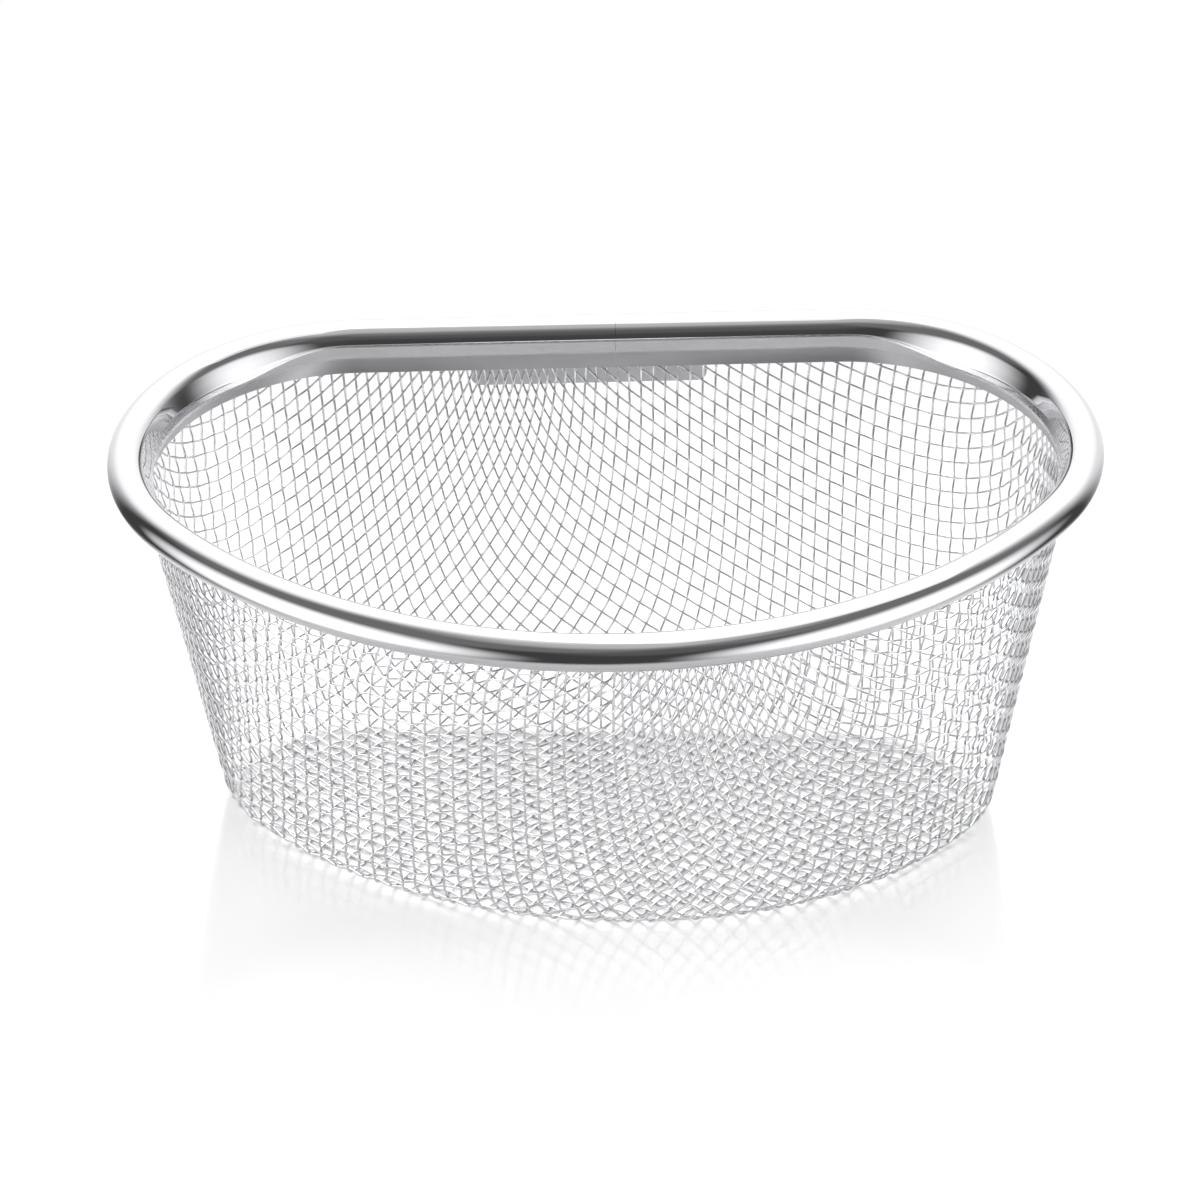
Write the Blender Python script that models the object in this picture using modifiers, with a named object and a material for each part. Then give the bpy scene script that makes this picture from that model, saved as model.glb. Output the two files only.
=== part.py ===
"""Corner sink strainer basket: a rolled D-shaped rim, a bowl of woven wire and a small back plate.

The straight back of the D faces +Y, its round front faces -Y and the floor under the bowl is Z = 0.
All sizes are in metres.
"""
import bmesh
import bpy
import numpy as np

MM = 0.001

# The D of the rim, followed along the middle of its rolled tube.
BACK_HALF = 51.2 * MM          # half of the straight back
CORNER_RADIUS = 47.5 * MM
FRONT_RADIUS = 111.4 * MM
RIM_HEIGHT = 80.0 * MM         # middle of the tube above the floor

# The strip that makes the rim: a tube with a short skirt on its inner side.
TUBE_RADIUS = 3.8 * MM         # outside
STRIP_THICKNESS = 0.5 * MM
SKIRT_START = -8.0             # degrees from the middle of the tube down to where the skirt turns off
TUBE_END = 305.0               # degrees round the tube, where the strip stops short of the cloth
TUBE_STEPS = 14
SKIRT_EDGE_INSET = 4.45 * MM   # lower edge of the skirt, measured inwards from the middle of the tube
SKIRT_EDGE_DROP = 6.1 * MM
SEAM_X = 4.0 * MM              # where the two ends of the strip meet, on the straight back
SEAM_GAP = 0.3 * MM
ARC_STEP = 6.5                 # degrees between two places of the swept section on a corner
FRONT_STEP = 4.0

# The bowl, with only every third wire of the real cloth, each a diamond bar.
WIRE_PITCH = 3.175 * MM        # eight wires to the inch
WIRES_PER_BAR = 3
BAR_PITCH = WIRE_PITCH * WIRES_PER_BAR
BAR_THICKNESS = 0.9 * MM
CLOTH_TURN = -37.5             # degrees from the straight back to the first family of wires
SLIT_CLEARANCE = 0.4 * MM      # between the cloth and the skirt beside it
HEM_DROP = 0.6 * MM            # cut edge of the cloth, below the middle of the tube
KNEE_DROP = 7.0 * MM           # below the skirt the wall turns to its own slope
WALL_SLOPE = 0.202
EDGE_RADIUS = 6.0 * MM         # round the bottom
FLOOR_CUT = 0.3 * MM           # the lowest bars are worn flat by this much
HEM_STEP = 6.5 * MM            # longest piece of the hem
SHARPEST = 0.4                 # bars that meet at a sharper corner than this allows share a blunted one
BEND_SAG = 0.3 * MM            # a bar whose middle is farther than this from the bowl is bent to follow it
SHARP_SAG = 0.8 * MM           # past this it is bent in two places
HEM_SNAP = 2.2 * MM            # a crossing this near the hem is moved onto it

# The real bowl is pressed out a little askew: its base lies this far forward of the rim's middle, each
# place of it by a share of its own distance from the back and to the right.
BASE_FORWARD = 17.5 * MM
BASE_SHORTENING = 0.143
BASE_TURN = 0.068

# How the cloth settles on the bowl: rounds, stiffness against bending, pull to the right pitch.
SETTLING_STEPS = ((300, 0.1, 0.5), (200, 0.06, 0.8), (150, 0.03, 0.9), (150, 0.02, 1.0))
SHEAR_LIMIT = 0.5              # shortest diagonal of a cell, in pitches
CLOTH_REACH = 110.0 * MM       # how far the cloth runs past the bottom before it is cut

# The plate behind the cloth.
PLATE_WIDTH = 50.8 * MM
PLATE_THICKNESS = 0.8 * MM
PLATE_BOTTOM_DROP = 11.6 * MM
PLATE_TOP_DROP = 4.4 * MM
PLATE_X = -1.6 * MM
PLATE_CORNER = 2.2 * MM
PLATE_SOFTENING = 0.12 * MM
PLATE_GAP = 0.3 * MM

FRONT_CENTRE = np.sqrt((FRONT_RADIUS - CORNER_RADIUS) ** 2 - BACK_HALF ** 2) - CORNER_RADIUS
DEPTH = FRONT_RADIUS - FRONT_CENTRE + 2 * TUBE_RADIUS
BACK_Y = DEPTH / 2 - TUBE_RADIUS
JOINT = np.arctan2(-CORNER_RADIUS - FRONT_CENTRE, BACK_HALF)   # where a corner meets the front
BOTTOM_HEIGHT = BAR_THICKNESS / 2 - FLOOR_CUT
WALL_ANGLE = np.arctan(WALL_SLOPE)


def collection(name):
    """A new collection in the scene."""
    made = bpy.data.collections.new(name)
    bpy.context.scene.collection.children.link(made)
    return made


def material(name, colour, roughness):
    """A stainless steel finish."""
    made = bpy.data.materials.new(name)
    made.use_nodes = True
    shader = made.node_tree.nodes["Principled BSDF"]
    shader.inputs["Base Color"].default_value = (*colour, 1.0)
    shader.inputs["Metallic"].default_value = 1.0
    shader.inputs["Roughness"].default_value = roughness
    return made


def place(name, data, group, finish=None):
    """An object from its data, in its collection and with its material."""
    made = bpy.data.objects.new(name, data)
    group.objects.link(made)
    if finish:
        data.materials.append(finish)
    return made


def arc(centre, radius, start, stop, step):
    """Points along an arc in plan, from one angle to the other in radians, both ends included."""
    steps = int(np.ceil(abs(stop - start) / np.radians(step)))
    angles = np.linspace(start, stop, steps + 1)
    return np.stack([centre[0] + radius * np.cos(angles), centre[1] + radius * np.sin(angles)], 1)


def rim_path():
    """The D in plan, clockwise from one side of the seam to the other, with the straight back at y = 0."""
    right = arc((BACK_HALF, -CORNER_RADIUS), CORNER_RADIUS, np.pi / 2, JOINT, ARC_STEP)
    front = arc((0, FRONT_CENTRE), FRONT_RADIUS, JOINT, -np.pi - JOINT, FRONT_STEP)
    left = right[::-1] * (-1, 1)
    seam = [(SEAM_X + SEAM_GAP / 2, 0)], [(SEAM_X - SEAM_GAP / 2, 0)]
    return np.concatenate([seam[0], right, front[1:-1], left, seam[1]])


def strip_section():
    """Middle line of the strip's section as inset and height from the middle of the tube."""
    radius = TUBE_RADIUS - STRIP_THICKNESS / 2
    angles = np.radians(np.linspace(SKIRT_START, TUBE_END, TUBE_STEPS + 1))
    tube = np.stack([radius * np.cos(angles), radius * np.sin(angles)], 1)
    return np.concatenate([[(SKIRT_EDGE_INSET, -SKIRT_EDGE_DROP)], tube])


def poly_curve(name, points, group):
    """A curve object through the points."""
    data = bpy.data.curves.new(name, "CURVE")
    data.dimensions = "3D"
    data.twist_mode = "Z_UP"
    line = data.splines.new("POLY")
    line.points.add(len(points) - 1)
    for point, place_at in zip(line.points, points):
        point.co = (*place_at, 1.0)
    return place(name, data, group)


def outline_query(points):
    """Inset from the D and direction outwards in plan for every point."""
    x, y = np.abs(points[:, 0]), points[:, 1]
    reach = np.hypot(x, y - FRONT_CENTRE) + 1e-12
    ahead = x * (-CORNER_RADIUS - FRONT_CENTRE) - (y - FRONT_CENTRE) * BACK_HALF > 0
    back = (x <= BACK_HALF) & (~ahead | (-y < FRONT_RADIUS - reach))
    front = ahead & ~back
    to_corner = np.stack([x - BACK_HALF, y + CORNER_RADIUS], 1)
    span = np.hypot(*to_corner.T) + 1e-12
    inset = np.where(back, -y, np.where(front, FRONT_RADIUS - reach, CORNER_RADIUS - span))
    from_front = np.stack([x, y - FRONT_CENTRE], 1) / reach[:, None]
    outwards = np.where(front[:, None], from_front, to_corner / span[:, None])
    outwards[back] = (0, 1)
    outwards[:, 0] *= np.where(points[:, 0] < 0, -1, 1)
    return inset, outwards


class BowlProfile:
    """The wall's section as inset and height: hem, wall, rounded edge and flat bottom."""

    def __init__(self):
        start = strip_section()
        skirt = start[0] - start[1]
        skirt /= np.hypot(*skirt)
        apart = STRIP_THICKNESS / 2 + SLIT_CLEARANCE + BAR_THICKNESS / 2
        self.hem_way = skirt
        beside = start[1] + apart * np.array([skirt[1], -skirt[0]]) + (0, RIM_HEIGHT)
        knee_z = RIM_HEIGHT - KNEE_DROP
        self.knee = beside + skirt * (knee_z - beside[1]) / skirt[1]
        self.wall_way = np.array([np.sin(WALL_ANGLE), -np.cos(WALL_ANGLE)])
        inwards = np.array([np.cos(WALL_ANGLE), np.sin(WALL_ANGLE)])
        centre_z = BOTTOM_HEIGHT + EDGE_RADIUS
        centre_x = (self.knee @ inwards + EDGE_RADIUS - centre_z * inwards[1]) / inwards[0]
        self.centre = np.array([centre_x, centre_z])
        self.foot = self.centre - EDGE_RADIUS * inwards
        self.arc_length = EDGE_RADIUS * (np.pi / 2 - WALL_ANGLE)
        self.wall_length = np.hypot(*(self.foot - self.knee))

    def at_height(self, height):
        """Inset of the hem line at a height above the knee."""
        return self.knee[0] + self.hem_way[0] * (height - self.knee[1]) / self.hem_way[1]

    def nearest(self, inset, height):
        """The nearest place on the section and the direction out of the bowl there."""
        at = np.stack([inset, height], 1)
        along_hem = np.minimum((at - self.knee) @ self.hem_way, 0)
        along_wall = np.clip((at - self.knee) @ self.wall_way, 0, self.wall_length)
        away = at - self.centre
        angle = np.clip(np.arctan2(-away[:, 1], -away[:, 0]), WALL_ANGLE, np.pi / 2)
        round_way = -np.stack([np.cos(angle), np.sin(angle)], 1)
        bottom = np.stack([np.maximum(inset, self.centre[0]), np.full(len(at), BOTTOM_HEIGHT)], 1)
        places = np.stack([self.knee + along_hem[:, None] * self.hem_way,
                           self.knee + along_wall[:, None] * self.wall_way,
                           self.centre + EDGE_RADIUS * round_way, bottom])
        ways = np.empty_like(places)
        ways[0] = (self.hem_way[1], -self.hem_way[0])
        ways[1] = (self.wall_way[1], -self.wall_way[0])
        ways[2], ways[3] = round_way, (0, -1)
        best = np.argmin(np.sum((places - at) ** 2, 2), 0), np.arange(len(at))
        return places[best], ways[best]

    def unrolled(self, past):
        """The place on the section this far from the flat bottom."""
        angle = np.clip(past, 0, self.arc_length) / EDGE_RADIUS
        place_at = self.centre - EDGE_RADIUS * np.stack([np.sin(angle), np.cos(angle)], 1)
        beyond = np.maximum(past - self.arc_length, 0)[:, None]
        up_wall = np.minimum(beyond, self.wall_length)
        return place_at - up_wall * self.wall_way - (beyond - up_wall) * self.hem_way


def depth_share(points, profile):
    """How deep in the bowl every point is, from 0 at the knee to 1 at the floor."""
    return np.clip(1 - points[:, 2] / profile.knee[1], 0, 1)


def lean(points, profile):
    """Places on an upright bowl moved to where the askew one has them."""
    moved = points.copy()
    forward = BASE_FORWARD + BASE_TURN * points[:, 0] + BASE_SHORTENING * points[:, 1]
    moved[:, 1] -= depth_share(points, profile) * forward
    return moved


def stand_upright(points, profile):
    """Places on the askew bowl moved back to the upright one."""
    deep = depth_share(points, profile)
    moved = points.copy()
    moved[:, 1] += deep * (BASE_FORWARD + BASE_TURN * points[:, 0])
    moved[:, 1] /= 1 - deep * BASE_SHORTENING
    return moved


def on_bowl(points, profile):
    """The points moved to the nearest places on the bowl."""
    upright = stand_upright(points, profile)
    inset, outwards = outline_query(upright[:, :2])
    nearest, _ = profile.nearest(inset, upright[:, 2])
    plan = upright[:, :2] + outwards * (inset - nearest[:, 0])[:, None]
    return lean(np.concatenate([plan, nearest[:, 1:]], 1), profile)


def out_of_bowl(points, profile):
    """The direction straight out of the bowl at every point."""
    upright = stand_upright(points, profile)
    inset, outwards = outline_query(upright[:, :2])
    _, ways = profile.nearest(inset, upright[:, 2])
    deep = depth_share(points, profile)
    x, y, z = np.concatenate([-outwards * ways[:, :1], ways[:, 1:]], 1).T
    y = y / (1 - deep * BASE_SHORTENING)
    forward = BASE_FORWARD + BASE_TURN * upright[:, 0] + BASE_SHORTENING * upright[:, 1]
    slope = forward / profile.knee[1] * (deep > 0)
    turned = np.stack([x + deep * BASE_TURN * y, y, z - slope * y], 1)
    return turned / np.linalg.norm(turned, axis=1, keepdims=True)


def fold_up(plan, profile):
    """Flat cloth folded onto the bowl: the bottom stays, the rest goes straight up the wall."""
    flat = stand_upright(np.column_stack([plan, np.full(len(plan), BOTTOM_HEIGHT)]), profile)
    inset, outwards = outline_query(flat[:, :2])
    past = profile.centre[0] - inset
    section = profile.unrolled(np.maximum(past, 0))
    moved = flat[:, :2] + outwards * (inset - section[:, 0])[:, None]
    points = np.concatenate([moved, section[:, 1:]], 1)
    points[past <= 0] = flat[past <= 0]
    return lean(points, profile), past


def pull_pairs(cloth, used, pitch, pull):
    """Every wire piece between two crossings is brought nearer to the pitch."""
    for axis in (0, 1):
        grid, live = np.moveaxis(cloth, axis, 0), np.moveaxis(used, axis, 0)
        for first in (0, 1):
            count = (len(grid) - first) // 2
            one, two = slice(first, first + 2 * count, 2), slice(first + 1, first + 1 + 2 * count, 2)
            gap = grid[two] - grid[one]
            length = np.linalg.norm(gap, axis=-1, keepdims=True) + 1e-12
            share = pull * 0.5 * (length - pitch) / length * gap * (live[one] & live[two])[..., None]
            grid[one] += share
            grid[two] -= share


def straighten(cloth, used, stiffness):
    """Every crossing is drawn towards the middle of its neighbours on each wire."""
    before = cloth.copy()
    for axis in (0, 1):
        grid, old, live = (np.moveaxis(part, axis, 0) for part in (cloth, before, used))
        inner = (live[:-2] & live[1:-1] & live[2:])[..., None]
        grid[1:-1] += stiffness * (0.5 * (old[:-2] + old[2:]) - old[1:-1]) * inner


def open_diagonals(cloth, used, pitch):
    """Cells are kept from folding flat."""
    low, high = slice(None, -1), slice(1, None)
    for one, two in (((low, low), (high, high)), ((high, low), (low, high))):
        gap = cloth[two] - cloth[one]
        length = np.linalg.norm(gap, axis=-1, keepdims=True) + 1e-12
        short = (used[one] & used[two])[..., None] & (length < SHEAR_LIMIT * pitch)
        share = 0.25 * (length - SHEAR_LIMIT * pitch) / length * gap * short
        cloth[one] += share
        cloth[two] -= share


def drawn_cloth(profile):
    """Crossings of the cloth after it is drawn into the bowl, and which of them are in use."""
    half = int(np.ceil((CLOTH_REACH + DEPTH) / BAR_PITCH))
    count = np.arange(-half, half + 1)
    across, along = np.meshgrid(count, count, indexing="ij")
    turn = np.radians(CLOTH_TURN)
    first, second = np.array([np.cos(turn), np.sin(turn)]), np.array([-np.sin(turn), np.cos(turn)])
    plan = BAR_PITCH * (across[..., None] * first + along[..., None] * second)
    plan += (0, TUBE_RADIUS - DEPTH / 2)
    points, past = fold_up(plan.reshape(-1, 2), profile)
    cloth = points.reshape(*plan.shape[:2], 3)
    used = (past < CLOTH_REACH).reshape(plan.shape[:2])
    for rounds, stiffness, pull in SETTLING_STEPS:
        for _ in range(round(rounds)):
            pull_pairs(cloth, used, BAR_PITCH, pull)
            straighten(cloth, used, stiffness)
            open_diagonals(cloth, used, BAR_PITCH)
            cloth[used] = on_bowl(cloth[used], profile)
    return cloth, used


def slide_to_hem(points, profile):
    """The points moved up or down the wall onto the hem."""
    inset, outwards = outline_query(points[:, :2])
    hem_z = RIM_HEIGHT - HEM_DROP
    plan = points[:, :2] + outwards * (inset - profile.at_height(hem_z))[:, None]
    return np.concatenate([plan, np.full((len(points), 1), hem_z)], 1)


def set_places(verts, rule, profile):
    """The vertices moved where the rule puts them."""
    for vert, co in zip(verts, rule(np.array([vert.co for vert in verts]), profile)):
        vert.co = co


def cut_evenly(edge, pieces):
    """New vertices that cut an edge into equal pieces and leave its faces whole."""
    made, start = [], edge.verts[0]
    for left in range(pieces, 1, -1):
        edge, start = bmesh.utils.edge_split(edge, start, 1 / left)
        made.append(start)
        edge = next(other for other in start.link_edges if other != edge)
    return made


def bend_bars(sheet, profile):
    """Bars that cut across the rounded edge or a corner get one or two bends on the bowl."""
    inner = [edge for edge in sheet.edges if not edge.is_boundary]
    middle = np.array([(edge.verts[0].co + edge.verts[1].co) / 2 for edge in inner])
    sag = np.linalg.norm(on_bowl(middle, profile) - middle, axis=1)
    bends = []
    for edge, off in zip(inner, sag):
        if off > BEND_SAG:
            bends += cut_evenly(edge, 3 if off > SHARP_SAG else 2)
    set_places(bends, on_bowl, profile)


def cloth_surface(profile):
    """The cloth as a surface of square cells, cut off level at the hem."""
    cloth, used = drawn_cloth(profile)
    hem_z = RIM_HEIGHT - HEM_DROP
    near = used & (np.abs(cloth[..., 2] - hem_z) < HEM_SNAP)
    cloth[near] = slide_to_hem(cloth[near], profile)
    sheet = bmesh.new()
    corner = {at: sheet.verts.new(cloth[at]) for at in zip(*np.nonzero(used))}
    for i, j in corner:
        cell = [corner.get(at) for at in ((i, j), (i, j + 1), (i + 1, j + 1), (i + 1, j))]
        if all(cell) and min(vert.co.z for vert in cell) < hem_z:
            sheet.faces.new(cell)
    whole = sheet.verts[:] + sheet.edges[:] + sheet.faces[:]
    bmesh.ops.bisect_plane(sheet, geom=whole, dist=1e-6, plane_co=(0, 0, hem_z), plane_no=(0, 0, 1),
                           clear_outer=True)
    bmesh.ops.delete(sheet, geom=[vert for vert in sheet.verts if not vert.link_faces], context="VERTS")
    bend_bars(sheet, profile)
    for edge in [edge for edge in sheet.edges if edge.is_boundary]:
        cut_evenly(edge, int(np.ceil(edge.calc_length() / HEM_STEP)))
    set_places([vert for vert in sheet.verts if vert.is_boundary], slide_to_hem, profile)
    return sheet


def side_step(at, before, after, outwards):
    """Where the edge of two bars that meet at a place lies, on the left of the way through it."""
    into = np.cross(outwards, at - before)
    away = np.cross(outwards, after - at)
    into, away = into / np.linalg.norm(into), away / np.linalg.norm(away)
    middle = (into + away) / np.linalg.norm(into + away)
    return at + middle * BAR_THICKNESS / 2 / max(middle @ into, SHARPEST)


def bar_lattice(sheet, profile):
    """Diamond bars along every edge of the sheet of cells, closed all round.

    Each bar has a ridge outside, a ridge inside and two edges in the cloth. Blender's Wireframe tool
    makes the same but twists a bar that bends over the rounded edge, so the bowl's own directions are used.
    """
    places = {vert: np.array(vert.co) for vert in sheet.verts}
    ways = dict(zip(places, out_of_bowl(np.array(list(places.values())), profile)))
    lattice = bmesh.new()
    outer = {vert: lattice.verts.new(at + ways[vert] * BAR_THICKNESS / 2) for vert, at in places.items()}
    inner = {vert: lattice.verts.new(at - ways[vert] * BAR_THICKNESS / 2) for vert, at in places.items()}
    rounds = [[loop.vert for loop in face.loops] for face in sheet.faces]
    rounds.append(hem_round(sheet))
    for around in rounds:
        edges = [lattice.verts.new(side_step(places[vert], places[before], places[after], ways[vert]))
                 for before, vert, after in zip(around[-1:] + around, around, around[1:] + around[:1])]
        for index, vert in enumerate(around):
            after = (index + 1) % len(around)
            lattice.faces.new((outer[vert], outer[around[after]], edges[after], edges[index]))
            lattice.faces.new((inner[around[after]], inner[vert], edges[index], edges[after]))
    return lattice


def hem_round(sheet):
    """The vertices of the hem in order, with the open side on the left seen from outside."""
    follow = {}
    for edge in sheet.edges:
        if edge.is_boundary:
            loop = edge.link_loops[0]
            follow[loop.link_loop_next.vert] = loop.vert
    around = [next(iter(follow))]
    while follow[around[-1]] is not around[0]:
        around.append(follow[around[-1]])
    return around


def add_rim(parts, cutters, finish):
    """The strip's section swept along the D and thickened to both sides."""
    section = [(inset, height, 0) for inset, height in strip_section()]
    swept = poly_curve("rim_section", section, cutters)
    swept.hide_render = True
    path = [(x, y + BACK_Y, RIM_HEIGHT) for x, y in rim_path()]
    rim = poly_curve("rolled_rim", path, parts)
    rim.data.bevel_mode = "OBJECT"
    rim.data.bevel_object = swept
    rim.data.materials.append(finish)
    wall = rim.modifiers.new("strip thickness", "SOLIDIFY")
    wall.thickness = STRIP_THICKNESS
    wall.offset = 0.0
    wall.use_even_offset = True


def add_bowl(parts, cutters, finish, profile):
    """The cloth's cells turned into bars, flat underneath where they stand on the floor."""
    sheet = cloth_surface(profile)
    lattice = bar_lattice(sheet, profile)
    sheet.free()
    bmesh.ops.translate(lattice, verts=lattice.verts, vec=(0, BACK_Y, 0))
    data = bpy.data.meshes.new("mesh_bowl")
    lattice.to_mesh(data)
    lattice.free()
    bowl = place("mesh_bowl", data, parts, finish)
    slab = bpy.data.meshes.new("floor_cutter")
    block = bmesh.new()
    bmesh.ops.create_cube(block, size=2 * DEPTH)
    bmesh.ops.translate(block, verts=block.verts, vec=(0, 0, -DEPTH))
    block.to_mesh(slab)
    block.free()
    cutter = place("floor_cutter", slab, cutters)
    cutter.hide_render = True
    cutter.display_type = "WIRE"
    flat = bowl.modifiers.new("flat underside", "BOOLEAN")
    flat.operation = "DIFFERENCE"
    flat.solver = "EXACT"
    flat.object = cutter


def add_plate(parts, finish, profile):
    """The flat plate close behind the cloth, under the tube."""
    bottom, top = RIM_HEIGHT - PLATE_BOTTOM_DROP, RIM_HEIGHT - PLATE_TOP_DROP
    front = profile.at_height(top) - BAR_THICKNESS - PLATE_GAP
    block = bmesh.new()
    bmesh.ops.create_cube(block, size=1.0)
    size = np.array([PLATE_WIDTH, PLATE_THICKNESS, top - bottom])
    middle = np.array([PLATE_X, BACK_Y - front + PLATE_THICKNESS / 2, (top + bottom) / 2])
    for vert in block.verts:
        vert.co = np.array(vert.co) * size + middle
    lower = [edge for edge in block.edges
             if all(vert.co.z < middle[2] for vert in edge.verts)
             and abs(edge.verts[0].co.y - edge.verts[1].co.y) > PLATE_THICKNESS / 2]
    bmesh.ops.bevel(block, geom=lower, offset=PLATE_CORNER, segments=6, profile=0.5, affect="EDGES")
    data = bpy.data.meshes.new("back_plate")
    block.to_mesh(data)
    block.free()
    plate = place("back_plate", data, parts, finish)
    soft = plate.modifiers.new("soft edges", "BEVEL")
    soft.width = PLATE_SOFTENING
    soft.segments = 2
    soft.limit_method = "ANGLE"


def main():
    """Builds the whole basket."""
    for old in list(bpy.context.scene.objects):
        bpy.data.objects.remove(old, do_unlink=True)
    parts, cutters = collection("corner_strainer_basket"), collection("cutters")
    cutters.hide_render = True
    profile = BowlProfile()
    add_rim(parts, cutters, material("polished stainless strip", (0.62, 0.62, 0.63), 0.12))
    add_bowl(parts, cutters, material("bright stainless wire", (0.56, 0.56, 0.57), 0.3), profile)
    add_plate(parts, material("dull stainless plate", (0.42, 0.42, 0.43), 0.45), profile)


main()
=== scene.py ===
"""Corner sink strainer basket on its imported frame: rolled rim, woven bowl, back plate and stage."""
import math

import bmesh
import bpy
import numpy as np
from bpy.props import FloatProperty, FloatVectorProperty, IntProperty, PointerProperty
from mathutils import Matrix, Vector


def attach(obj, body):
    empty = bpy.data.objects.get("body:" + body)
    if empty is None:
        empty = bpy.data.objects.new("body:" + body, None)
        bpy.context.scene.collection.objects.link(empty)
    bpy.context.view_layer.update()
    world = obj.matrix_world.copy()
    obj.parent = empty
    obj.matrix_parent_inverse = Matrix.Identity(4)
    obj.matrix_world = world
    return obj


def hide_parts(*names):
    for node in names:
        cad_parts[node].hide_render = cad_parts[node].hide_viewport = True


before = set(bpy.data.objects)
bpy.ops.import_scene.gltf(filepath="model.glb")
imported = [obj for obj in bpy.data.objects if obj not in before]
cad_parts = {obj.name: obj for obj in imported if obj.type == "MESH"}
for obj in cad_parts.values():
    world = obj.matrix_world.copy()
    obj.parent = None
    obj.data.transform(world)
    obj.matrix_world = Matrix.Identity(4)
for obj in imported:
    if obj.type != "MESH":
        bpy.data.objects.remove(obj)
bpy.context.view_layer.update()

MM = 0.001
ROOT = "root"
TINY = 1e-12                    # keeps a length of nought from being divided by

# Each finish of stainless steel, by how its surface was made. Its roughness wanders with a noise: how fine
# that is per metre, its detail, the lowest and highest value that count, and the roughness at these two.
FINISHES = {
    # Strip buffed to a mirror: clear reflections with a little haze, in patches of about a centimetre.
    "polished_stainless_strip": (90.0, 3.0, 0.35, 0.75, 0.03, 0.08),
    # Strip left as rolled, where the buffing wheel didn't reach: satin, with cloudy reflections. Its darker
    # colour, set with the rim, is painted shade.
    "satin_skirt_painted_shade": (120.0, 1.0, 0.3, 0.7, 0.32, 0.4),
    # Strip that the wheel only brushed: between the two.
    "half_polished_bend": (120.0, 1.0, 0.3, 0.7, 0.13, 0.19),
    # Wire drawn bright through a die: shiny, slightly duller where it was crimped. Its colour, lighter than
    # the strip's, carries painted highlight.
    "drawn_wire_painted_highlight": (240.0, 2.0, 0.3, 0.7, 0.1, 0.22),
    # Sheet with the dull finish of the rolling mill: grey, with a fine even grain.
    "dull_rolled_sheet": (900.0, 3.0, 0.3, 0.7, 0.38, 0.55),
}
RIPPLE_SCALE = 160.0            # ripples of the polished tube, per metre
RIPPLE_STRENGTH = 0.06
RIPPLE_HEIGHT = 0.2 * MM

bl_info = {
    "name": "Corner Sink Strainer Basket",
    "version": (1, 0, 0),
    "blender": (4, 5, 0),
    "location": "View3D > Sidebar > Strainer",
    "description": "Builds a woven wire sink strainer with a rolled stainless rim on its packed frame",
    "category": "Add Mesh",
}


def length(name, description, default):
    """A size in metres that a user may change."""
    return FloatProperty(name=name, description=description, default=default, min=0.0, unit="LENGTH",
                         precision=5)


def linear(hex_colour):
    """An sRGB hex colour as linear red, green, blue."""
    value = int(hex_colour.lstrip("#"), 16)
    parts = [(value >> shift & 255) / 255 for shift in (16, 8, 0)]
    return tuple(part / 12.92 if part <= 0.04045 else ((part + 0.055) / 1.055) ** 2.4 for part in parts)


def tint(name, description, hex_colour):
    """A colour that a user may change."""
    return FloatVectorProperty(name=name, description=description, default=linear(hex_colour), size=3,
                               min=0.0, max=1.0, subtype="COLOR")


class StrainerRimSettings(bpy.types.PropertyGroup):
    """The rolled strip round the mouth."""
    back_half: length("Half back", "Half of the straight back of the rim", 51.2 * MM)
    corner_radius: length("Corner radius", "Radius of the tube's middle line at the back corners", 47.5 * MM)
    front_radius: length("Front radius", "Radius of the tube's middle line round the front", 111.4 * MM)
    height: length("Rim height", "Middle of the tube above the floor", 80.0 * MM)
    tube_radius: length("Tube radius", "Outside radius of the rolled tube", 3.8 * MM)
    strip: length("Strip thickness", "Thickness of the sheet that is rolled", 0.5 * MM)
    skirt_inset: length("Skirt inset", "Lower edge of the skirt, inwards from the tube's middle", 4.45 * MM)
    skirt_drop: length("Skirt drop", "Lower edge of the skirt, below the tube's middle", 6.1 * MM)
    slit_start: FloatProperty(name="Slit start", description="Where the slit for the cloth's edge turns off "
                              "from the tube, round it from level", default=math.radians(-8.0),
                              subtype="ANGLE")
    tube_end: FloatProperty(name="Tube end", description="Where the rolled edge ends, round the tube",
                            default=math.radians(305.0), subtype="ANGLE")
    seam_x: FloatProperty(name="Seam", description="Where the strip's two ends meet on the back",
                          default=4.0 * MM, unit="LENGTH")
    seam_gap: length("Seam gap", "Opening left between the strip's two ends", 0.06 * MM)
    colour: tint("Steel", "Colour of the polished stainless strip", "#CBCBCD")
    # Painted shade: the skirt is given a darker grey than the polished strip, for the shade of the wires and
    # bowl close beside it.
    shaded_skirt_colour: tint("Skirt colour", "Stainless strip that was left as rolled", "#BFBFC1")


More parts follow.
